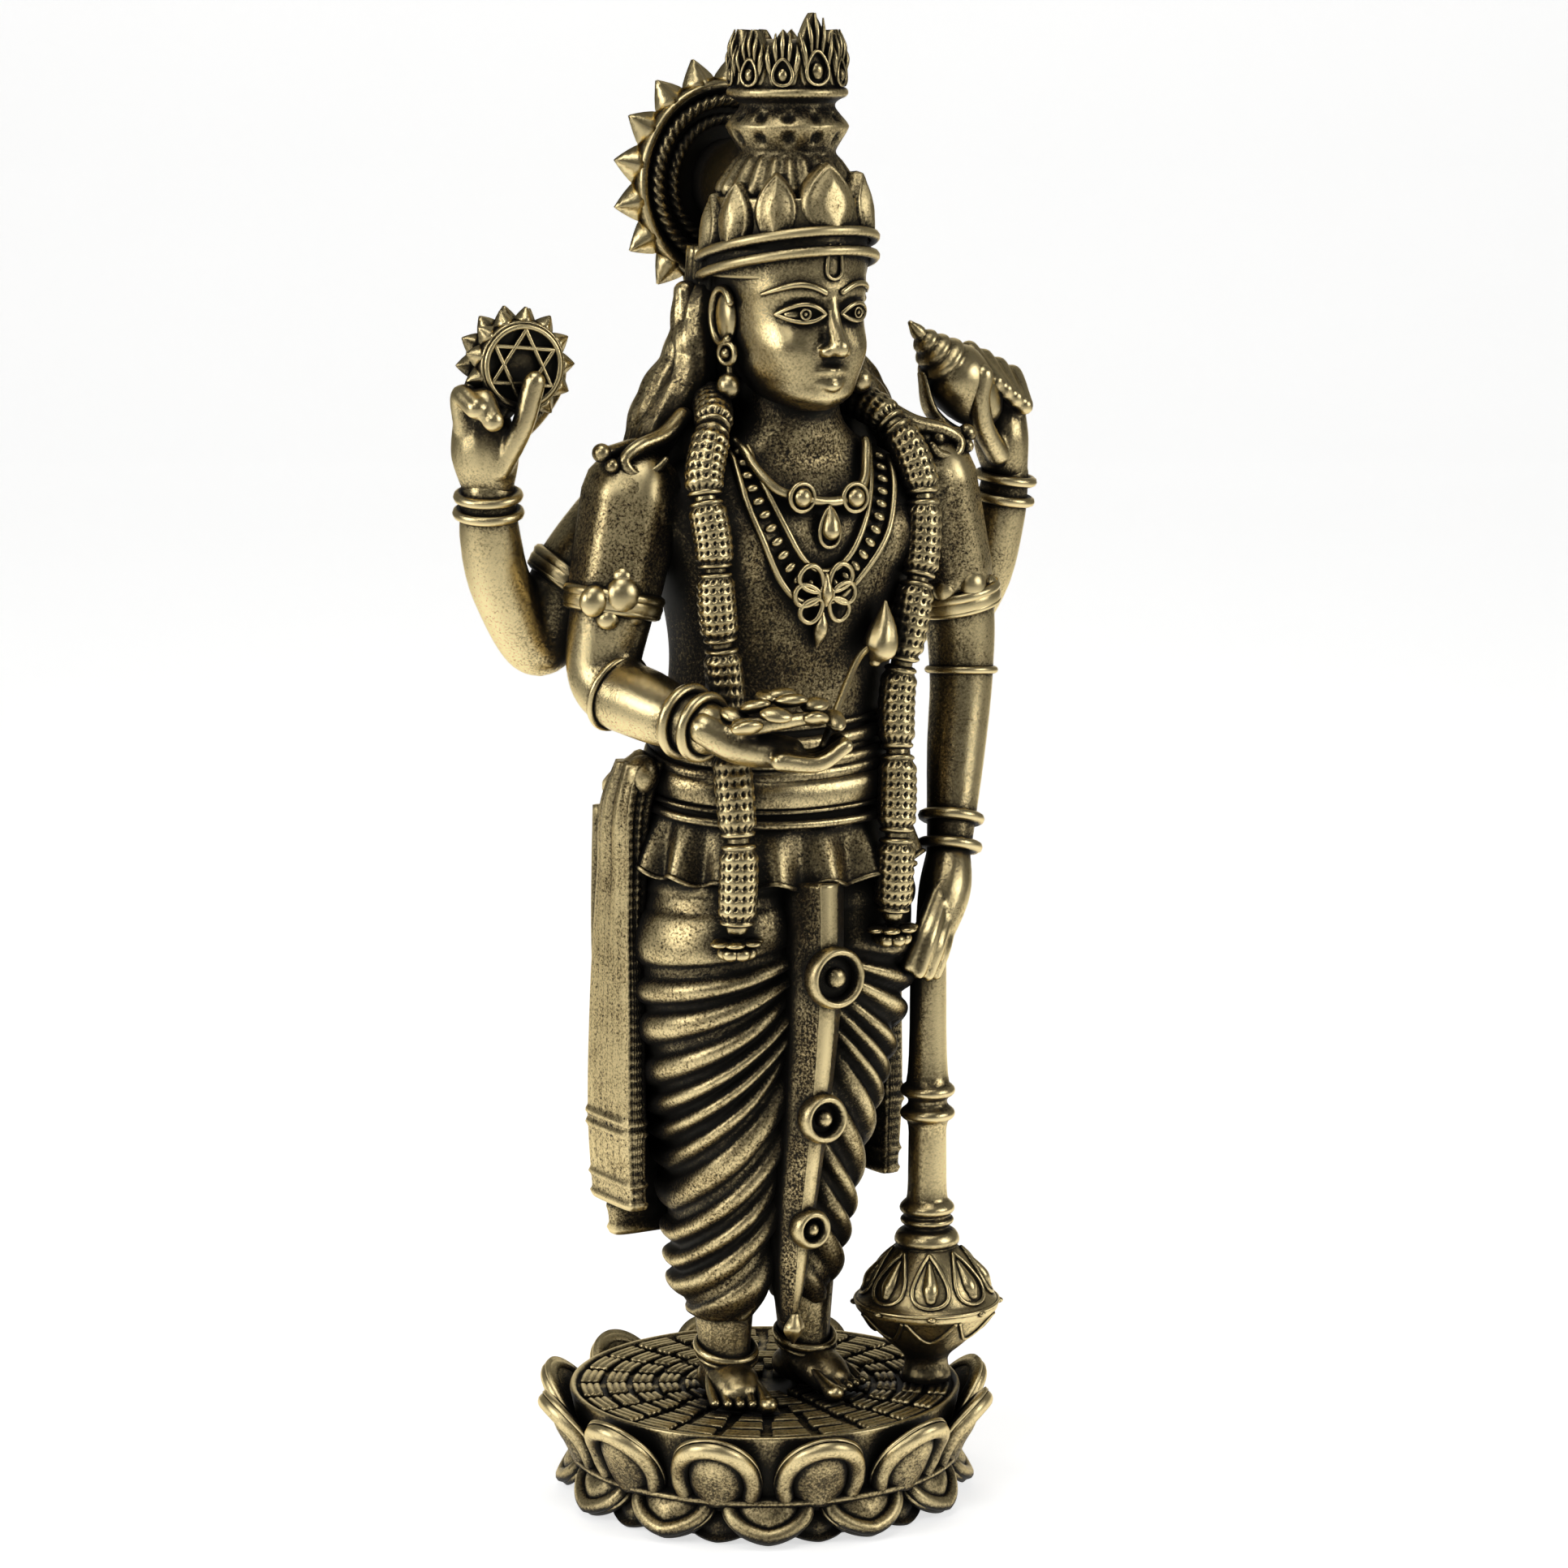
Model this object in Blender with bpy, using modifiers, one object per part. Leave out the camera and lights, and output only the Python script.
"""Standing four-armed Vishnu on a double lotus seat, a small solid brass casting made in one piece.

Metres, +Z up. The origin is on the floor under the middle of the lotus. The figure faces -Y, so its own
right side is at -X. The lotus, mace, discus, conch and halo have sizes of their own; the figure is drawn
in figure units measured from its soles, and FIGURE_HEIGHT sets how long a unit is.
"""
import math

import bmesh
import bpy
import numpy as np
from mathutils import Matrix, Vector

# Lotus seat
LOTUS_HEIGHT = 0.0056
SEAT_RADIUS = 0.0100
WAIST_RADIUS = 0.0093
WAIST_HEIGHT = 0.0019
FOOT_RADIUS = 0.0088
PETAL_COUNT = 12
UPPER_PETAL_REACH = 0.0120
LOWER_PETAL_REACH = 0.0110
PETAL_THICKNESS = 0.0008
PETAL_RELIEF = 0.00055

# Figure
FIGURE_HEIGHT = 0.0694
UNITS_TALL = 69.4

# What it holds and wears
MACE_SHAFT_RADIUS = 0.00085
MACE_HEAD_RADIUS = 0.0037
MACE_HEAD_HEIGHT = 0.0070
DISCUS_RADIUS = 0.0022
DISCUS_THICKNESS = 0.0016
DISCUS_TOOTH = 0.0009
CONCH_LENGTH = 0.0076
CONCH_RADIUS = 0.0017
HALO_RADIUS = 0.0050
HALO_THICKNESS = 0.0012
TOOTH_LENGTH = 0.0014
GARLAND_RADIUS = 0.0010

# The casting's mesh
GRAIN = 0.00024
TRIANGLES = 9650

UNIT = FIGURE_HEIGHT / UNITS_TALL
FLAT_ALLOWANCE = 0.001
TURN = 2 * math.pi

# The figure's middle line, and the skins of its body, as rows of height, x, y, half width, half depth
TORSO = [
    (27.0, 0.3, -0.2, 7.0, 4.9),
    (31.0, 0.4, -0.2, 6.7, 4.7),
    (35.0, 0.5, -0.3, 5.9, 4.2),
    (38.0, 0.75, -0.4, 5.9, 4.2),
    (41.5, 0.95, -0.5, 6.8, 4.5),
    (44.5, 0.95, -0.5, 8.0, 4.4),
    (46.3, 0.9, -0.4, 7.9, 3.7),
    (47.6, 0.9, -0.3, 5.8, 3.1),
    (48.8, 0.9, -0.6, 3.4, 2.8),
    (51.5, 0.9, -0.7, 2.4, 2.4),
]
RIGHT_LEG = [
    (4.2, -2.9, -0.6, 1.3, 1.9),
    (5.2, -2.9, -0.6, 1.9, 2.6),
    (8.0, -2.8, -0.5, 2.3, 3.2),
    (12.0, -2.8, -0.5, 2.7, 3.8),
    (17.0, -3.1, -0.4, 3.5, 4.4),
    (22.0, -3.2, -0.3, 4.0, 4.8),
    (28.0, -3.0, -0.2, 4.0, 4.8),
]
LEFT_LEG = [
    (4.4, 1.6, -0.5, 1.1, 1.6),
    (5.4, 1.6, -0.5, 1.5, 2.1),
    (8.0, 1.7, -0.5, 1.9, 2.8),
    (12.0, 2.1, -0.5, 2.3, 3.3),
    (17.0, 2.8, -0.4, 3.0, 4.1),
    (22.0, 3.4, -0.3, 3.8, 4.7),
    (28.0, 3.6, -0.2, 3.9, 4.8),
]
HEAD = [
    (49.7, 0.85, -3.1, 0.9, 0.9),
    (50.4, 0.85, -2.5, 2.0, 2.3),
    (52.0, 0.85, -1.6, 3.0, 3.5),
    (54.0, 0.85, -1.1, 3.6, 4.1),
    (56.0, 0.85, -1.0, 3.8, 4.3),
    (58.0, 0.85, -1.0, 3.9, 4.4),
    (60.5, 0.85, -0.9, 3.8, 4.0),
]
HEAD_MIDDLE = (0.8, -0.9)


# Helpers

def at(x, y, z):
    """A point of the figure, from figure units above the seat."""
    return Vector((x * UNIT, y * UNIT, z * UNIT + LOTUS_HEIGHT))


def through(rows, t):
    """A smooth curve through rows, whose first column is the position along it."""
    table = np.array(rows, float)
    keys, values = table[:, 0], table[:, 1:]
    t = min(max(t, keys[0]), keys[-1])
    i = min(max(int(np.searchsorted(keys, t)) - 1, 0), len(keys) - 2)
    slopes = np.gradient(values, keys, axis=0)
    span = keys[i + 1] - keys[i]
    s = (t - keys[i]) / span
    return (
        (2 * s**3 - 3 * s**2 + 1) * values[i]
        + (s**3 - 2 * s**2 + s) * span * slopes[i]
        + (3 * s**2 - 2 * s**3) * values[i + 1]
        + (s**3 - s**2) * span * slopes[i + 1]
    )


def new_object(name, mesh):
    made = bpy.data.objects.new(name, mesh)
    bpy.context.scene.collection.objects.link(made)
    return made


def grid_mesh(name, rings):
    """A closed skin over rings of points, each ring the same number of points, with a flat cap at each end."""
    count, sides = len(rings), len(rings[0])
    points = [tuple(p) for ring in rings for p in ring]
    faces = [tuple(range(sides - 1, -1, -1))]
    for i in range(count - 1):
        for j in range(sides):
            k = (j + 1) % sides
            faces.append((i * sides + j, i * sides + k, (i + 1) * sides + k, (i + 1) * sides + j))
    faces.append(tuple((count - 1) * sides + j for j in range(sides)))
    mesh = bpy.data.meshes.new(name)
    mesh.from_pydata(points, [], faces)
    return new_object(name, mesh)


def front_of(rows, x, z, power=2.2):
    """The y of a skin's front face at x and height z."""
    middle_x, middle_y, wide, deep = through(rows, z)
    share = min(abs((x - middle_x) / wide), 0.97)
    return middle_y - deep * (1 - share**power) ** (1 / power)


def skin(name, rows, rings, sides, power=2.2, relief=None):
    """A body skin through superellipse sections. relief(angle, z) raises it, in figure units; angle 0 is the front."""
    low, high = rows[0][0], rows[-1][0]
    made = []
    for i in range(rings + 1):
        z = low + (high - low) * i / rings
        x, y, wide, deep = through(rows, z)
        ring = []
        for j in range(sides):
            angle = TURN * j / sides - math.pi / 2
            c, s = math.cos(angle), math.sin(angle)
            size = (abs(c) ** power + abs(s) ** power) ** (-1 / power)
            lift = relief(angle + math.pi / 2, z) if relief else 0
            ring.append(at(x + (wide + lift) * c * size, y + (deep + lift) * s * size, z))
        made.append(ring)
    return grid_mesh(name, made)


def tube(name, points, radii, sides=3):
    """A limb, rod or strand along points in metres, its radius changing from radii[0] to the last."""
    curve = bpy.data.curves.new(name, "CURVE")
    curve.dimensions = "3D"
    curve.bevel_depth = 1.0
    curve.bevel_resolution = sides
    curve.use_fill_caps = True
    steps = max(12, 4 * len(points))
    rows = [(i, *p, r) for i, (p, r) in enumerate(zip(points, radii))]
    line = curve.splines.new("POLY")
    line.points.add(steps)
    for i in range(steps + 1):
        x, y, z, radius = through(rows, (len(points) - 1) * i / steps)
        line.points[i].co = (x, y, z, 1)
        line.points[i].radius = radius
    return as_mesh(new_object(name, curve))


def as_mesh(source):
    """The evaluated mesh of a curve or of an object with modifiers, in its place."""
    bpy.context.view_layer.update()
    graph = bpy.context.evaluated_depsgraph_get()
    mesh = bpy.data.meshes.new_from_object(source.evaluated_get(graph))
    mesh.transform(source.matrix_world)
    welder = bmesh.new()
    welder.from_mesh(mesh)
    bmesh.ops.remove_doubles(welder, verts=welder.verts, dist=1e-6)
    welder.to_mesh(mesh)
    welder.free()
    name = source.name
    bpy.data.objects.remove(source)
    return new_object(name, mesh)


def figure_tube(name, points, radii, sides=3):
    return tube(name, [at(*p) for p in points], [r * UNIT for r in radii], sides)


def ball(name, middle, radii, turn=None):
    """An ellipsoid with its middle and radii in metres."""
    bpy.ops.mesh.primitive_uv_sphere_add(segments=20, ring_count=12)
    made = bpy.context.object
    made.name = name
    place = Matrix.Translation(middle) @ (turn or Matrix.Identity(4)) @ Matrix.Diagonal((*radii, 1))
    made.data.transform(place)
    return made


def figure_ball(name, middle, radii, turn=None):
    return ball(name, at(*middle), [r * UNIT for r in radii], turn)


def hoop(name, middle, direction, radius, thickness):
    """A ring round a limb, its middle and sizes in metres."""
    bpy.ops.mesh.primitive_torus_add(
        major_segments=28, minor_segments=8, major_radius=radius, minor_radius=thickness
    )
    made = bpy.context.object
    made.name = name
    made.data.transform(Matrix.Translation(middle) @ facing(direction))
    return made


def facing(direction):
    """A turn that takes +Z to a direction."""
    return Vector((0, 0, 1)).rotation_difference(Vector(direction).normalized()).to_matrix().to_4x4()


def turned(name, profile, foot):
    """A turned form from (radius, height) pairs, bottom to top, standing at foot."""
    mesh = bpy.data.meshes.new(name)
    points = [(0, 0, profile[0][1]), *[(r, 0, h) for r, h in profile], (0, 0, profile[-1][1])]
    points.reverse()
    mesh.from_pydata(points, [(i, i + 1) for i in range(len(points) - 1)], [])
    made = new_object(name, mesh)
    screw = made.modifiers.new("turn", "SCREW")
    screw.steps = screw.render_steps = 32
    screw.use_merge_vertices = True
    screw.merge_threshold = 1e-6
    made.location = foot
    return as_mesh(made)


def slab(name, outline, thickness):
    """A flat plate with this outline in its own xy plane, rounded off by its thickness."""
    curve = bpy.data.curves.new(name, "CURVE")
    curve.dimensions = "2D"
    curve.fill_mode = "BOTH"
    curve.extrude = thickness / 2
    line = curve.splines.new("POLY")
    line.points.add(len(outline) - 1)
    for point, (x, y) in zip(line.points, outline):
        point.co = (x, y, 0, 1)
    line.use_cyclic_u = True
    return as_mesh(new_object(name, curve))


def toothed_outline(radius, tooth, teeth):
    points = []
    for i in range(teeth):
        angle = TURN * i / teeth
        points.append((radius * math.cos(angle), radius * math.sin(angle)))
        tip = angle + TURN / teeth / 2
        points.append(((radius + tooth) * math.cos(tip), (radius + tooth) * math.sin(tip)))
    return points


# Lotus seat

def lotus():
    made = [
        turned(
            "lotus_body",
            [
                (FOOT_RADIUS, -FLAT_ALLOWANCE),
                (FOOT_RADIUS, 0.1 * WAIST_HEIGHT),
                (WAIST_RADIUS, WAIST_HEIGHT),
                (WAIST_RADIUS, 1.25 * WAIST_HEIGHT),
                (SEAT_RADIUS, LOTUS_HEIGHT - 0.3 * PETAL_THICKNESS),
                (0.96 * SEAT_RADIUS, LOTUS_HEIGHT),
            ],
            (0, 0, 0),
        )
    ]
    half = 0.5 * TURN * WAIST_RADIUS / PETAL_COUNT
    upper = [(0.0, 0.95 * WAIST_RADIUS, 1.15 * WAIST_HEIGHT), (0.5, SEAT_RADIUS, 0.62 * LOTUS_HEIGHT)]
    upper.append((1.0, UPPER_PETAL_REACH, 1.02 * LOTUS_HEIGHT))
    lower = [(0.0, 0.97 * WAIST_RADIUS, 0.95 * WAIST_HEIGHT), (0.5, SEAT_RADIUS, 0.6 * WAIST_HEIGHT)]
    lower.append((1.0, LOWER_PETAL_REACH, 0.0))
    for i in range(PETAL_COUNT):
        made.append(petal(f"upper_petal_{i}", TURN * (i + 0.5) / PETAL_COUNT, upper, 1.04 * half))
        made.append(petal(f"lower_petal_{i}", TURN * i / PETAL_COUNT, lower, 0.98 * half))
    return made


def petal(name, angle, spine, half):
    """A petal with a thick rolled rim and a swelling middle; spine rows are share, radius and height."""
    rows = []
    steps, across = 14, 15
    for i in range(steps + 1):
        share = i / steps
        radius, height = through(spine, share)
        past = max(share - 0.3, 0) / 0.7
        width = half * max(1 - past**2.6, 0.02) ** 0.5 * (0.86 + 0.14 * min(share / 0.3, 1))
        front, back = [], []
        for j in range(across):
            u = 1 - 2 * j / (across - 1)
            edge = min(math.hypot(u * width / half, past), 1)
            lift = 0.9 * math.exp(-(((edge - 0.84) / 0.15) ** 2)) + max(1 - (edge / 0.6) ** 2, 0) ** 0.6
            front.append((u * width, radius + PETAL_RELIEF * lift, height))
            back.append((-u * width, radius - PETAL_THICKNESS, height))
        rows.append([place_round(p, angle) for p in front + back])
    return grid_mesh(name, rows)


def place_round(point, angle):
    """Sets a point of a petal drawn facing outwards at its angle round the seat, angle 0 being the front."""
    across, out, height = point
    c, s = math.cos(angle - math.pi / 2), math.sin(angle - math.pi / 2)
    return (out * c - across * s, out * s + across * c, height)


# Body and dress

def fold(phase):
    """A rounded fold with a narrow groove, from 0 in the groove to 1 on the crest."""
    return abs(math.sin(math.pi * phase)) ** 0.6


def draped(side, low, spacing=1.75, depth=0.5):
    """Folds that start steeply at the middle pleat and sweep out and down round a leg."""
    drops = [(0.0, 4.0), (4.0, 5.6), (12.0, 7.0), (20.0, 3.6), (24.0, 2.0)]

    def relief(angle, z):
        turn = (angle + math.pi) % TURN - math.pi
        inwards = 1 - min(max((side * turn + 1.0) / 2.9, 0), 1)
        sweep = through(drops, z - low)[0] * inwards**1.7
        fade = min(1.0, (z - low) / 1.2) * (1.0 if abs(turn) < 2.4 else 0.4)
        return depth * fold((z - low - sweep) / spacing) * fade

    return relief


def ruffle(angle, z):
    share = max(0.0, 1 - (z - RUFFLE[0][0]) / 3.2)
    return 0.5 * share * math.sin(11 * angle)


RUFFLE = [
    (25.8, 0.3, -0.2, 7.6, 5.6),
    (27.5, 0.3, -0.2, 7.4, 5.3),
    (29.2, 0.3, -0.2, 7.0, 4.9),
]


def body():
    made = [
        skin("torso", TORSO, 40, 48),
        skin("right_leg", RIGHT_LEG, 60, 48, relief=draped(-1, 4.2)),
        skin("left_leg", LEFT_LEG, 60, 48, relief=draped(1, 4.4)),
        skin("ruffle", RUFFLE, 12, 96, relief=ruffle),
    ]
    for height, wide, thick in ((33.2, 6.5, 0.55), (31.8, 6.75, 0.7), (30.2, 6.95, 0.6), (29.0, 7.1, 0.5)):
        rows = [
            (height - thick, 0.4, -0.2, wide, wide - 2.0),
            (height, 0.4, -0.2, wide + 0.45, wide - 1.5),
            (height + thick, 0.4, -0.2, wide, wide - 2.0),
        ]
        made.append(skin(f"sash_{height:.0f}", rows, 6, 40))
    pleat = [(-0.2, -5.1, 26.5), (-0.3, -5.3, 22.4), (-0.6, -5.0, 15.2), (-0.8, -4.5, 9.4), (-0.9, -3.7, 4.7)]
    made.append(figure_tube("front_pleat", pleat, [1.0, 1.0, 0.8, 0.65, 0.5]))
    back = [(0.2, 4.2, 25.0), (-0.2, 3.6, 14.0), (-0.5, 2.6, 3.4)]
    made.append(figure_tube("back_pleat", back, [1.4, 1.4, 1.2]))
    for (x, z, radius) in ((-0.3, 22.4, 1.45), (-0.6, 15.2, 1.15), (-0.85, 9.4, 0.95)):
        y = through([(p[2], p[1]) for p in reversed(pleat)], z)[0]
        made.append(hoop(f"pleat_ring_{z:.0f}", at(x, y - 0.7, z), (0, -1, 0), radius * UNIT, 0.35 * UNIT))
        made.append(figure_ball(f"pleat_stud_{z:.0f}", (x, y - 0.7, z), (0.55, 0.55, 0.55)))
    return made


def feet():
    made = []
    for side, x in ((-1, -2.9), (1, 1.8)):
        made.append(figure_tube(f"ankle_{side}", [(x, -0.8, 5.2), (x, -0.9, 2.6), (x, -1.1, 1.1)], [1.6, 1.35, 1.3]))
        made.append(figure_ball(f"heel_{side}", (x, -0.3, 0.7), (1.3, 1.4, 0.9)))
        splay = math.radians(9 * side)
        made.append(
            figure_ball(f"instep_{side}", (x, -2.4, 0.8), (1.6, 2.3, 1.1), Matrix.Rotation(splay, 4, "Z"))
        )
        made.append(hoop(f"anklet_{side}", at(x, -1.0, 2.4), (0, -0.25, 1), 1.5 * UNIT, 0.25 * UNIT))
        for i in range(5):
            across = (1.25 - 0.62 * i) * -side
            size = 0.58 if i == 0 else 0.36
            reach = -4.7 + 0.25 * i
            made.append(figure_ball(f"toe_{side}_{i}", (x + across, reach, 0.45), (size, 0.75, size)))
    return made


def shawl_end(side):
    """A hanging end of the shawl: a flat panel beside the leg, gathered at the hip, and its fold behind the leg."""
    rows = [
        (10.0, 7.5, 1.8, 0.6, 2.3),
        (13.0, 7.6, 1.8, 0.7, 2.4),
        (20.0, 7.6, 1.7, 0.7, 2.3),
        (27.0, 7.6, 1.2, 0.7, 1.8),
        (31.0, 7.6, 0.6, 0.8, 1.5),
        (32.8, 7.2, 0.1, 0.9, 1.2),
    ]
    inner = [(8.0, 5.3, 3.2, 1.9, 0.6), (14.0, 5.5, 3.3, 2.0, 0.7), (22.0, 5.7, 3.8, 2.0, 0.7), (30.0, 5.6, 3.9, 1.8, 0.8)]
    made = []
    for name, panel in (("outer", rows), ("inner", inner)):
        turned_rows = [(z, side * x, y, wide, deep) for z, x, y, wide, deep in panel]
        made.append(skin(f"shawl_{name}_{side}", turned_rows, 24, 24, power=4.0))
    return made


def shawl():
    """The shawl's two ends and the loop of it that hangs across the back of the hips."""
    loop = [(-7.0, 0.3, 32.4), (-5.6, 4.2, 30.6), (0.3, 5.6, 29.4), (6.0, 4.2, 30.6), (7.4, 0.3, 32.4)]
    return [
        *shawl_end(-1),
        *shawl_end(1),
        figure_tube("shawl_loop", loop, [0.9, 1.0, 1.1, 1.0, 0.9]),
        figure_ball("hip_knot", (-7.3, -0.4, 32.2), (0.9, 0.9, 1.1)),
    ]


# Arms, hands and what they hold

RIGHT_ARM = [(-7.7, -0.3, 46.0), (-8.8, -0.3, 41.0), (-9.4, -0.5, 37.2), (-8.6, -3.4, 36.1), (-7.5, -7.1, 35.4)]
LEFT_ARM = [(9.6, -0.3, 46.0), (11.3, -0.3, 39.9), (11.5, -0.5, 36.1), (10.8, -1.1, 31.9), (9.7, -2.2, 27.2)]
REAR_RIGHT_ARM = [
    (-6.2, 1.6, 45.8),
    (-9.2, 2.8, 42.0),
    (-10.9, 3.5, 38.5),
    (-13.2, 2.9, 41.4),
    (-14.2, 2.3, 44.1),
    (-14.5, 1.9, 46.4),
]
REAR_LEFT_ARM = [
    (7.8, 1.6, 45.5),
    (11.2, 2.9, 40.8),
    (13.4, 3.5, 37.9),
    (14.9, 2.9, 40.2),
    (15.5, 2.2, 43.4),
    (15.8, 1.9, 45.8),
]


def band(name, arm, along, radius, thickness=0.38):
    """A bangle or armlet round an arm, at a place counted in points along it."""
    rows = [(i, *p) for i, p in enumerate(arm)]
    here, ahead = through(rows, along), through(rows, min(along + 0.05, len(arm) - 1))
    behind = through(rows, max(along - 0.05, 0))
    return hoop(name, at(*here), Vector(ahead - behind), radius * UNIT, thickness * UNIT)


def arms():
    made = [
        figure_tube("right_arm", RIGHT_ARM, [2.4, 2.1, 1.8, 1.75, 1.3], 4),
        figure_tube("left_arm", LEFT_ARM, [2.3, 1.9, 1.65, 1.5, 1.15], 4),
        figure_tube("rear_right_arm", REAR_RIGHT_ARM, [2.3, 2.1, 1.6, 1.55, 1.5, 1.3], 4),
        figure_tube("rear_left_arm", REAR_LEFT_ARM, [1.9, 1.7, 1.4, 1.5, 1.4, 1.2], 4),
        figure_ball("right_shoulder", (-7.6, -0.3, 45.6), (2.5, 2.5, 2.4)),
        figure_ball("left_shoulder", (9.6, -0.3, 45.6), (2.4, 2.4, 2.4)),
    ]
    for name, arm, places in (
        ("right", RIGHT_ARM, ((0.95, 2.25, 0.6), (2.4, 1.8, 0.25), (3.72, 1.6, 0.36), (3.95, 1.5, 0.36))),
        ("left", LEFT_ARM, ((0.95, 2.0, 0.6), (2.0, 1.65, 0.25), (3.7, 1.4, 0.36), (3.97, 1.4, 0.36))),
        ("rear_right", REAR_RIGHT_ARM, ((1.0, 2.0, 0.5), (4.55, 1.45, 0.34), (4.92, 1.45, 0.34))),
        ("rear_left", REAR_LEFT_ARM, ((1.0, 1.9, 0.5), (4.45, 1.4, 0.34), (4.9, 1.4, 0.34))),
    ):
        for i, (along, radius, thickness) in enumerate(places):
            made.append(band(f"{name}_band_{i}", arm, along, radius, thickness))
    made.append(figure_ball("right_armlet_boss", (-9.3, -2.2, 41.3), (1.3, 0.9, 1.2)))
    made.append(figure_ball("left_armlet_boss", (11.1, -2.0, 40.4), (1.2, 0.8, 1.1)))
    return made


def fingers(name, lines, radius, taper=0.75):
    """Fingers, each a line of points in figure units."""
    return [
        figure_tube(f"{name}_{i}", line, [radius] + [radius * taper] * (len(line) - 1), 2)
        for i, line in enumerate(lines)
    ]


def offering_hand():
    made = [
        figure_tube("offering_palm", [(-7.8, -7.3, 35.5), (-6.2, -8.2, 34.6), (-4.0, -9.0, 34.2)], [1.4, 1.5, 1.2])
    ]
    lines = []
    for i in range(4):
        shift = 0.75 * (i - 1.5)
        lines.append(
            [
                (-4.6 + 0.5 * shift, -9.0 + shift, 34.0),
                (-2.8 + 0.5 * shift, -9.5 + shift, 33.9),
                (-1.5 + 0.4 * shift, -9.8 + shift, 34.9),
            ]
        )
    made += fingers("offering_finger", lines, 0.5)
    for i in range(9):
        angle = 2.4 * i
        spread = 0.5 * math.sqrt(i)
        middle = (-4.6 + 1.25 * spread * math.cos(angle), -8.9 + spread * math.sin(angle), 35.7 + 0.05 * (9 - i))
        made.append(figure_ball(f"offering_{i}", middle, (0.75, 0.6, 0.5)))
    made.append(figure_tube("lotus_stalk", [(-2.2, -9.4, 34.4), (-0.3, -7.2, 36.6), (1.7, -4.2, 39.4)], [0.32] * 3, 2))
    return made


def mace():
    """The mace stands on the seat at the figure's left and ends under its hand."""
    x, y = 7.3, -4.0
    foot = Vector((x * UNIT, y * UNIT, LOTUS_HEIGHT))
    top = at(x, y, 23.0).z - LOTUS_HEIGHT
    ring = at(x, y, 15.1).z - LOTUS_HEIGHT
    r, h, s = MACE_HEAD_RADIUS, MACE_HEAD_HEIGHT, MACE_SHAFT_RADIUS
    profile = [
        (0.36 * r, -0.1 * h),
        (0.32 * r, 0.03 * h),
        (0.62 * r, 0.14 * h),
        (0.9 * r, 0.32 * h),
        (r, 0.44 * h),
        (0.97 * r, 0.52 * h),
        (0.72 * r, 0.78 * h),
        (0.40 * r, 0.93 * h),
        (0.38 * r, h),
        (1.5 * s, 1.08 * h),
        (1.5 * s, 1.22 * h),
        (s, 1.26 * h),
    ]
    for offset in (-0.9, 0.2):
        rise = offset * 2 * s
        profile += [(s, ring + rise - 0.5 * s), (1.5 * s, ring + rise), (1.5 * s, ring + rise + 0.6 * s)]
        profile += [(s, ring + rise + 1.1 * s)]
    profile.append((s, top))
    return [turned("mace", profile, foot)]


def mace_hand():
    """The figure's left hand, its fingers laid down over the top of the mace."""
    made = [figure_tube("mace_palm", [(9.7, -2.2, 27.3), (8.7, -3.0, 25.9), (7.8, -3.7, 24.0)], [1.15, 1.4, 1.3])]
    roots = [(7.0, -4.4, 25.3), (7.3, -4.8, 24.6), (7.8, -4.8, 23.8), (8.3, -4.5, 23.3)]
    tips = [(5.4, -4.8, 22.3), (5.7, -5.2, 21.5), (6.4, -5.2, 21.4), (7.2, -5.0, 21.7)]
    lines = [[root, tuple((a + b) / 2 for a, b in zip(root, tip)), tip] for root, tip in zip(roots, tips)]
    made += fingers("mace_finger", lines, 0.6)
    made += fingers("mace_thumb", [[(8.9, -3.0, 25.0), (8.6, -3.2, 22.8)]], 0.55)
    return made


def discus():
    """The war discus stands in the rear right hand, its face to the front."""
    middle = at(-13.5, 0.5, 52.6)
    plate = slab("discus", toothed_outline(DISCUS_RADIUS, DISCUS_TOOTH, 16), DISCUS_THICKNESS)
    turn = Matrix.Rotation(math.radians(-6), 4, "Z")
    plate.data.transform(Matrix.Translation(middle) @ turn @ Matrix.Rotation(math.radians(90), 4, "X"))
    way = turn @ Vector((0, -1, 0))
    rim = hoop("discus_rim", middle + way * DISCUS_THICKNESS / 2, way, 0.86 * DISCUS_RADIUS, 0.0002)
    return [plate, rim]


def discus_hand():
    palm = [(-14.5, 1.9, 46.4), (-14.8, 1.6, 48.3), (-15.0, 1.6, 50.2)]
    made = [figure_tube("discus_palm", palm, [1.25, 1.7, 1.4])]
    lines = [
        [(-15.9, 1.6, 49.6), (-16.3, 1.1, 51.2), (-16.2, -0.2, 50.7)],
        [(-15.3, 1.4, 49.8), (-15.6, 0.3, 51.1), (-15.5, -0.6, 50.1)],
        [(-14.3, 1.8, 49.8), (-13.2, 2.1, 51.6), (-12.6, 1.9, 53.5)],
        [(-13.8, 1.8, 48.6), (-12.0, 2.0, 49.9), (-11.0, 1.8, 51.3), (-10.9, 1.5, 52.5)],
    ]
    made += fingers("discus_finger", lines, 0.7)
    made += fingers("discus_thumb", [[(-14.5, 0.6, 47.6), (-13.9, -0.5, 49.7), (-13.4, -0.9, 51.9)]], 0.8)
    return made


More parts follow.
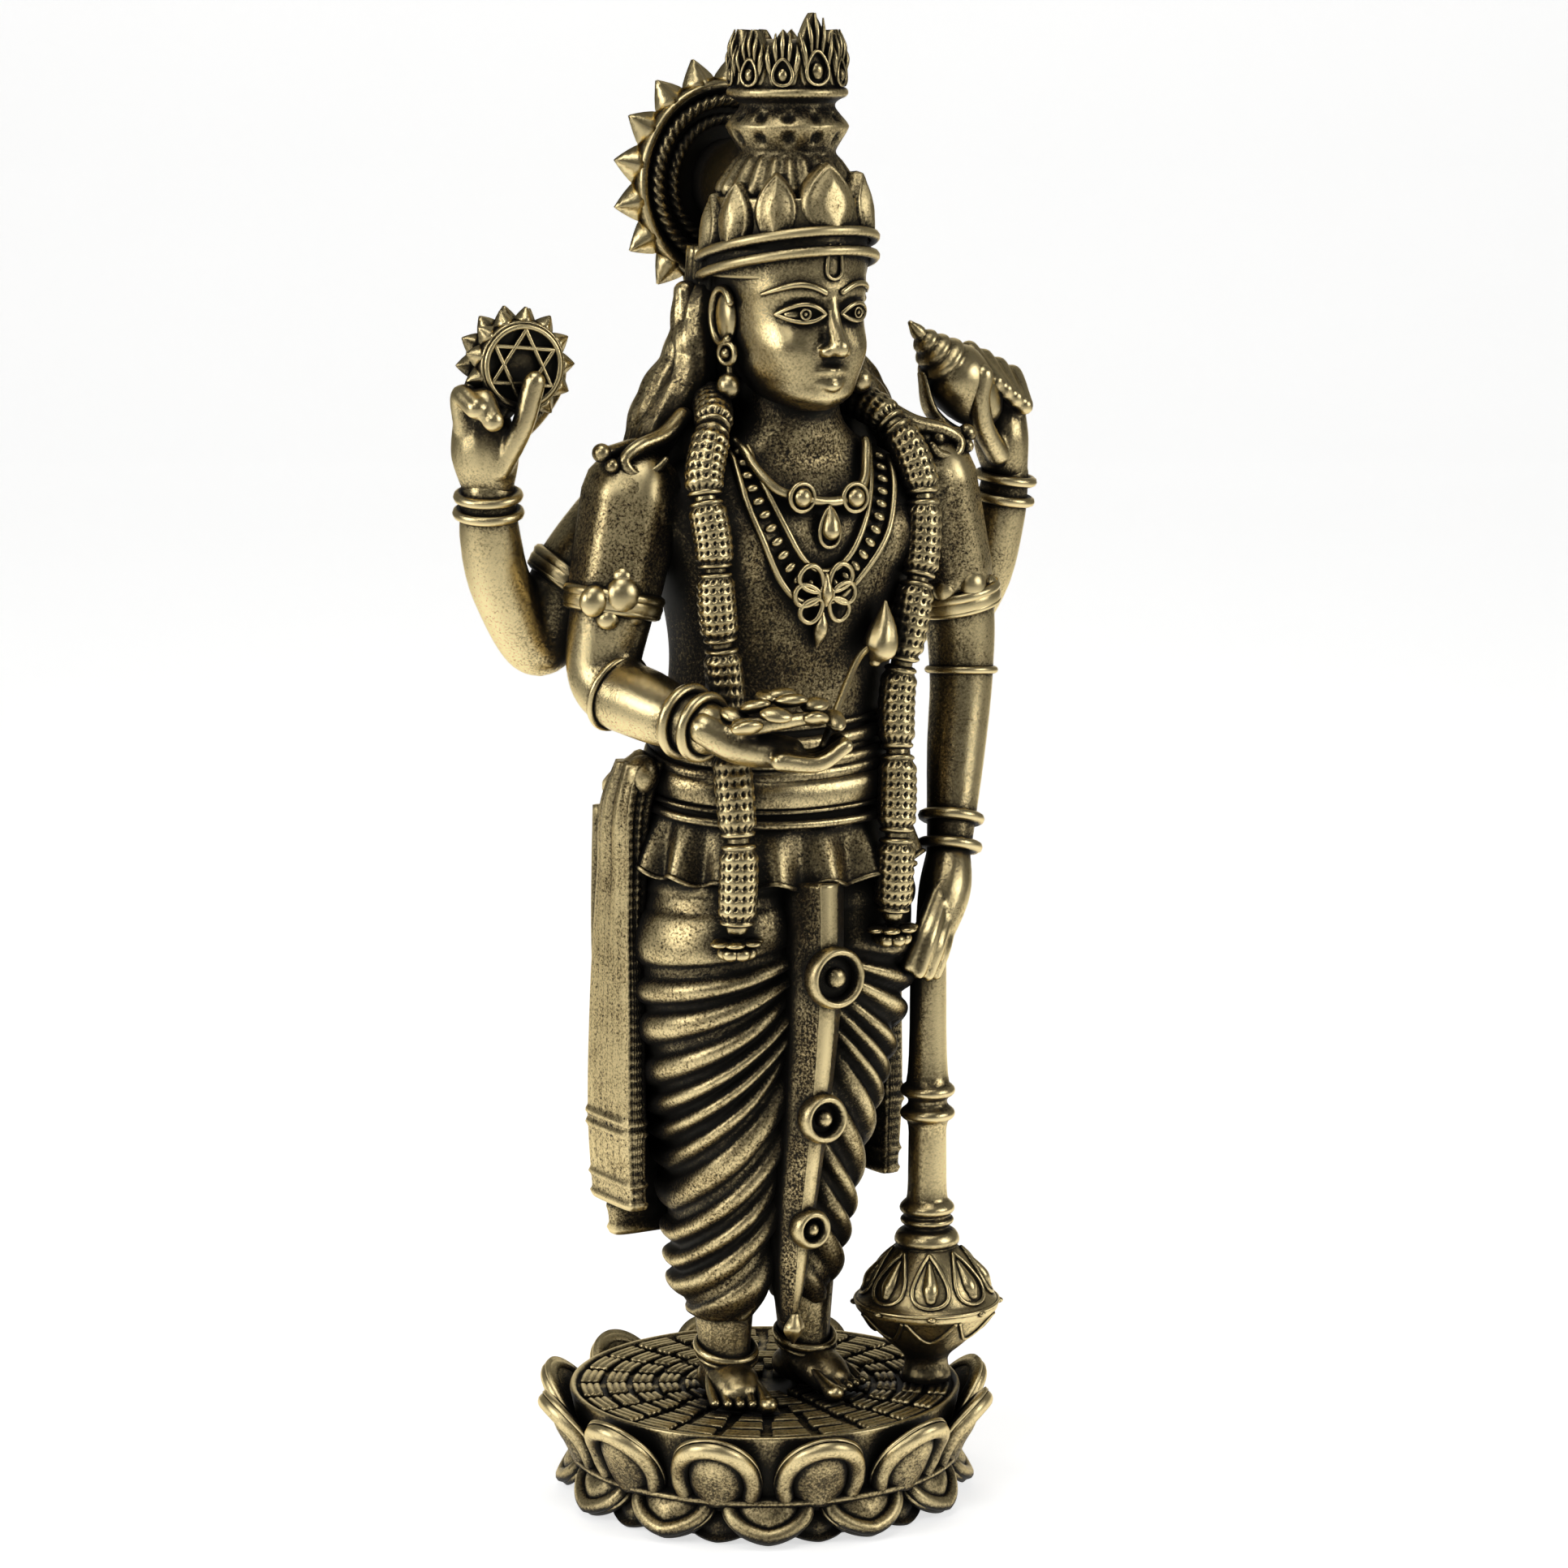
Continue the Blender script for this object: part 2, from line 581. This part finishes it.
def conch():
    """The conch lies in the rear left hand, its spire up and inwards."""
    mouth, spire = at(14.6, 1.4, 48.6), at(9.2, 1.0, 53.9)
    way = (spire - mouth).normalized()
    length, radius = CONCH_LENGTH, CONCH_RADIUS
    profile = [(0.3 * radius, 0), (0.75 * radius, 0.12 * length), (radius, 0.4 * length)]
    profile.append((0.97 * radius, 0.52 * length))
    turns = 4
    for i in range(turns):
        share = 1 - (i + 1) / (turns + 0.6)
        height = (0.56 + 0.44 * (i + 0.5) / turns) * length
        profile.append((radius * (0.1 + 0.75 * share), height - 0.03 * length))
        profile.append((radius * (0.12 + 0.85 * share), height + 0.02 * length))
    profile.append((0.08 * radius, length))
    shell = turned("conch", profile, (0, 0, 0))
    shell.data.transform(Matrix.Translation(spire - way * length) @ facing(way))
    lip = [(10.1, 1.4, 51.2), (10.6, 1.4, 49.4), (11.8, 1.5, 48.4), (13.2, 1.6, 47.9)]
    return [shell, figure_tube("conch_lip", lip, [0.4, 0.6, 0.6, 0.5])]


def conch_hand():
    made = [
        figure_tube("conch_palm", [(15.8, 1.9, 45.8), (15.4, 1.8, 47.6), (15.5, 2.1, 49.4)], [1.15, 1.45, 1.3])
    ]
    lines = []
    for i in range(4):
        root = (15.3 + 0.3 * i, 2.7, 50.4 - 0.3 * i)
        top = (13.4 + 0.9 * i, 1.9, 52.3 - 0.45 * i)
        tip = (14.0 + 0.6 * i, 0.3, 50.7 - 0.43 * i)
        lines.append([root, top, tip])
    made += fingers("conch_finger", lines, 0.6)
    thumb = [(14.6, 0.9, 46.9), (13.3, 0.3, 48.4), (12.8, 0.0, 49.9), (12.95, -0.1, 51.1)]
    made += fingers("conch_thumb", [thumb], 0.65)
    return made


# Head, crown and halo

def head():
    x = HEAD_MIDDLE[0]
    made = [
        skin("head", HEAD, 28, 40, power=2.1),
        figure_tube("nose", [(x, -5.1, 55.6), (x, -5.5, 54.4), (x, -5.9, 53.4)], [0.35, 0.5, 0.65]),
        figure_ball("lips", (x, -4.95, 51.8), (1.05, 0.6, 0.42)),
        figure_ball("chin", (x, -4.3, 50.4), (0.9, 0.8, 0.6)),
    ]
    for side in (-1, 1):
        made.append(figure_ball(f"eye_{side}", (x + 1.6 * side, -4.75, 54.9), (1.0, 0.55, 0.45)))
        brow = [(x + 0.5 * side, -5.15, 55.9), (x + 1.6 * side, -5.0, 56.4), (x + 2.8 * side, -4.2, 55.7)]
        made.append(figure_tube(f"brow_{side}", brow, [0.25, 0.3, 0.2], 2))
        made.append(figure_ball(f"ear_{side}", (x + 3.85 * side, -1.0, 54.4), (0.5, 1.0, 1.9)))
        made.append(figure_ball(f"ear_drop_{side}", (x + 3.8 * side, -1.6, 51.2), (0.55, 0.55, 0.6)))
        made.append(figure_tube(f"ear_wire_{side}", [(x + 3.8 * side, -1.5, 52.6), (x + 3.8 * side, -1.6, 51.2)], [0.3] * 2, 2))
    return made


def hair():
    """Hair gathered behind the head, and the locks that fall over the back of the shoulders."""
    x = HEAD_MIDDLE[0]
    rows = [
        (42.0, x, 4.0, 1.6, 0.9),
        (44.0, x, 4.1, 3.4, 1.3),
        (47.0, x, 3.6, 5.0, 1.8),
        (50.0, x, 2.6, 4.6, 2.2),
        (54.0, x, 2.0, 4.2, 2.4),
        (58.0, x, 1.6, 3.9, 2.6),
    ]
    made = [skin("hair", rows, 20, 40, relief=lambda angle, z: 0.16 * math.sin(16 * angle))]
    for side in (-1, 1):
        lock = [(x + 3.7 * side, 1.6, 55.0), (x + 4.2 * side, 2.0, 52.4), (x + 5.5 * side, 1.8, 49.7)]
        lock.append((x + 8.2 * side, 0.9, 48.0))
        made.append(figure_tube(f"lock_{side}", lock, [0.8, 1.0, 1.3, 0.9]))
        made.append(figure_ball(f"shoulder_boss_{side}", (x + 9.7 * side, 0.4, 48.1), (0.75, 0.75, 0.75)))
    return made


def crown():
    x, y = HEAD_MIDDLE
    foot = Vector((x * UNIT, y * UNIT, LOTUS_HEIGHT))
    outline = [
        (3.9, 56.6), (4.2, 57.2), (4.35, 58.0), (4.2, 58.8), (3.9, 59.2), (4.2, 60.2), (3.3, 61.2), (2.5, 62.2),
        (2.25, 62.7), (2.35, 63.1), (2.85, 63.8), (2.4, 64.4), (2.2, 64.8), (2.45, 65.2), (2.85, 65.6),
        (2.5, 65.9), (2.4, 67.4), (2.2, 67.9), (1.2, 68.2),
    ]
    made = [turned("crown", [(r * UNIT, h * UNIT) for r, h in outline], foot)]
    tiara = []
    for i in range(25):
        angle = math.radians(-150 + 12.5 * i)
        tiara.append((x + 4.2 * math.sin(angle), y - 4.35 * math.cos(angle), 57.3 + 1.0 * max(math.cos(angle), -0.6)))
    made.append(figure_tube("tiara_band", tiara, [0.55] * len(tiara)))
    count = 10
    for i in range(count):
        angle = TURN * i / count
        lift = 1.0 * max(math.cos(angle), -0.6)
        outwards = Vector((math.sin(angle), -math.cos(angle), 0.12))
        middle = at(x + 4.15 * math.sin(angle), y - 4.25 * math.cos(angle), 59.4 + lift)
        made.append(leaf(f"tiara_petal_{i}", middle, outwards, 2.3 * UNIT, 2.8 * UNIT, 0.6 * UNIT))
        tall = 3.9 if i == 0 else 3.0
        middle = at(x + 2.75 * math.sin(angle), y - 2.75 * math.cos(angle), 65.5 + tall / 2)
        made.append(leaf(f"plume_{i}", middle, outwards, 1.75 * UNIT, tall * UNIT, 0.6 * UNIT))
    return made


def leaf(name, middle, outwards, wide, tall, thick):
    """A pointed upright leaf whose flat side faces outwards."""
    outline = []
    steps = 7
    for side in (1, -1):
        for i in range(steps):
            share = i / (steps - 1) if side > 0 else 1 - i / (steps - 1)
            width = 0.5 * wide * math.sin(math.pi * (0.18 + 0.82 * share)) ** 0.7 if share < 1 else 0
            outline.append((side * width, tall * (share - 0.5)))
    outline = [p for i, p in enumerate(outline) if i == 0 or p != outline[i - 1]]
    plate = slab(name, outline, thick)
    out = Vector(outwards).normalized()
    across = Vector((0, 0, 1)).cross(out).normalized()
    up = out.cross(across)
    turn = Matrix((across, up, out)).transposed().to_4x4()
    plate.data.transform(Matrix.Translation(middle) @ turn)
    return plate


def halo():
    """The wheel behind the head, held by a short stem on the back of the crown."""
    middle = at(0.8, 5.4, 61.0)
    plate = slab("halo", toothed_outline(HALO_RADIUS, TOOTH_LENGTH, 20), HALO_THICKNESS)
    plate.data.transform(Matrix.Translation(middle) @ Matrix.Rotation(math.radians(90), 4, "X"))
    face = middle - Vector((0, HALO_THICKNESS / 2, 0))
    rims = [hoop(f"halo_rim_{i}", face, (0, -1, 0), share * HALO_RADIUS, 0.0003) for i, share in enumerate((0.8, 0.52))]
    stem = figure_tube("halo_stem", [(0.9, 1.0, 60.5), (1.0, 5.4, 61.0)], [2.6, 2.2])
    return [plate, stem, *rims]


# Garland and jewels

def garland(side):
    """A strung garland from behind the neck down the front, in thick beads, ended by a flower."""
    path = {
        -1: [(-2.6, 1.0, 50.8), (-4.2, -2.2, 49.6), (-5.7, -3.8, 47.0), (-5.6, -4.5, 44.0), (-5.5, -4.7, 41.0),
             (-5.1, -4.7, 37.5), (-5.0, -5.3, 33.0), (-5.0, -5.9, 29.0), (-5.1, -5.9, 25.2)],
        1: [(4.4, 1.0, 50.8), (5.8, -2.2, 49.4), (6.7, -3.8, 46.6), (6.5, -4.4, 43.0), (5.6, -4.8, 39.6),
            (4.9, -4.7, 35.8), (4.5, -5.4, 32.0), (4.1, -5.9, 28.5), (3.9, -5.9, 25.0)],
    }[side]
    rows = [(i, *p) for i, p in enumerate(path)]
    beads = 7
    made = [figure_tube(f"garland_string_{side}", path, [0.6] * len(path))]
    for i in range(beads):
        first = (len(path) - 1) * i / beads
        line = [tuple(through(rows, first + (len(path) - 1) / beads * share)) for share in (0.05, 0.35, 0.65, 0.95)]
        made.append(tube(f"garland_{side}_{i}", [at(*p) for p in line], [GARLAND_RADIUS] * 4))
    x, y, z = path[-1]
    for i in range(6):
        angle = TURN * i / 6
        middle = (x + 0.95 * math.cos(angle), y + 0.7 * math.sin(angle), z - 0.9)
        made.append(figure_ball(f"garland_flower_{side}_{i}", middle, (0.6, 0.6, 0.4)))
    made.append(figure_ball(f"garland_tip_{side}", (x, y, z - 1.2), (0.8, 0.8, 0.6)))
    return made


def necklace(name, half_width, top, drop, radius):
    """A chain over the chest from the neck's sides to its lowest point."""
    x = 0.75
    line = []
    for i in range(13):
        u = -1 + 2 * i / 12
        across, height = x + half_width * u * (1.15 - 0.15 * u * u), top - (top - drop) * (1 - abs(u) ** 1.7)
        line.append((across, front_of(TORSO, across, height) - 0.1, height))
    return figure_tube(name, line, [radius] * len(line), 2)


def jewels():
    made = [necklace("choker", 3.2, 47.6, 44.6, 0.32), necklace("broad_necklace", 4.0, 47.4, 40.6, 0.55)]
    for x, z in ((-0.7, 45.0), (2.1, 44.8)):
        made.append(figure_ball(f"choker_stud_{x:.0f}", (x, front_of(TORSO, x, z) - 0.2, z), (0.6, 0.5, 0.6)))
    made.append(figure_ball("choker_drop", (0.7, front_of(TORSO, 0.7, 43.9) - 0.3, 43.9), (0.65, 0.5, 0.95)))
    for i in range(6):
        angle = math.radians(30 + 60 * i)
        x, z = 0.45 + 1.2 * math.cos(angle), 40.6 + 1.2 * math.sin(angle)
        made.append(figure_ball(f"pendant_petal_{i}", (x, front_of(TORSO, x, z) - 0.25, z), (0.7, 0.45, 0.6)))
    made.append(figure_ball("pendant_drop", (0.4, front_of(TORSO, 0.4, 38.9) - 0.3, 38.9), (0.5, 0.4, 0.9)))
    return made


# The casting

def cast(name, pieces):
    """All the pieces run together as poured metal, thinned to few faces and cut flat underneath."""
    points, faces = [], []
    for piece in pieces:
        start = len(points)
        place = piece.matrix_world
        points += [tuple(place @ v.co) for v in piece.data.vertices]
        faces += [tuple(start + i for i in face.vertices) for face in piece.data.polygons]
        bpy.data.objects.remove(piece)
    mesh = bpy.data.meshes.new(name)
    mesh.from_pydata(points, [], faces)
    metal = new_object(name, mesh)
    run = metal.modifiers.new("run_together", "REMESH")
    run.mode = "VOXEL"
    run.voxel_size = GRAIN
    ease = metal.modifiers.new("ease", "SMOOTH")
    ease.factor = 0.5
    ease.iterations = 2
    metal = as_mesh(metal)
    triangles = sum(len(face.vertices) - 2 for face in metal.data.polygons)
    thin = metal.modifiers.new("thin", "DECIMATE")
    thin.ratio = min(1.0, TRIANGLES / triangles)
    thin.use_collapse_triangulate = True
    metal = as_mesh(metal)
    keep_largest(metal.data)
    cut = metal.modifiers.new("flat_underside", "BOOLEAN")
    cut.object = floor_cutter()
    cut.operation = "DIFFERENCE"
    return metal


def keep_largest(mesh):
    """Drops the crumbs that the thinning can leave beside the casting."""
    crumbs = bmesh.new()
    crumbs.from_mesh(mesh)
    left, groups = set(crumbs.verts), []
    while left:
        todo, group = [left.pop()], []
        while todo:
            vertex = todo.pop()
            group.append(vertex)
            for edge in vertex.link_edges:
                other = edge.other_vert(vertex)
                if other in left:
                    left.remove(other)
                    todo.append(other)
        groups.append(group)
    groups.sort(key=len)
    for group in groups[:-1]:
        bmesh.ops.delete(crumbs, geom=group, context="VERTS")
    crumbs.to_mesh(mesh)
    crumbs.free()


def floor_cutter():
    depth = 4 * FLAT_ALLOWANCE
    bpy.ops.mesh.primitive_cube_add(size=1, location=(0, 0, -depth / 2))
    cutter = bpy.context.object
    cutter.name = "floor_cutter"
    cutter.scale = (6 * SEAT_RADIUS, 6 * SEAT_RADIUS, depth)
    cutter.hide_render = True
    cutter.display_type = "WIRE"
    return cutter


def brass():
    """Antiqued brass, dark in the hollows; this is its average."""
    metal = bpy.data.materials.new("antique_brass")
    metal.use_nodes = True
    shader = metal.node_tree.nodes["Principled BSDF"]
    shader.inputs["Base Color"].default_value = (0.42, 0.31, 0.14, 1)
    shader.inputs["Metallic"].default_value = 1.0
    shader.inputs["Roughness"].default_value = 0.33
    return metal


def main():
    for old in list(bpy.data.objects):
        bpy.data.objects.remove(old)
    pieces = [
        *lotus(), *body(), *feet(), *shawl(), *arms(), *offering_hand(), *mace(), *mace_hand(),
        *discus(), *discus_hand(), *conch(), *conch_hand(), *head(), *hair(), *crown(), *halo(),
        *garland(-1), *garland(1), *jewels(),
    ]
    statue = cast("vishnu_statue", pieces)
    statue.data.materials.append(brass())
    statue.data.shade_smooth()
    statue.data.set_sharp_from_angle(angle=math.radians(50))
    for title, member in (("vishnu_on_lotus", statue), ("cutters", bpy.data.objects["floor_cutter"])):
        group = bpy.data.collections.new(title)
        bpy.context.scene.collection.children.link(group)
        for holder in member.users_collection:
            holder.objects.unlink(member)
        group.objects.link(member)


main()
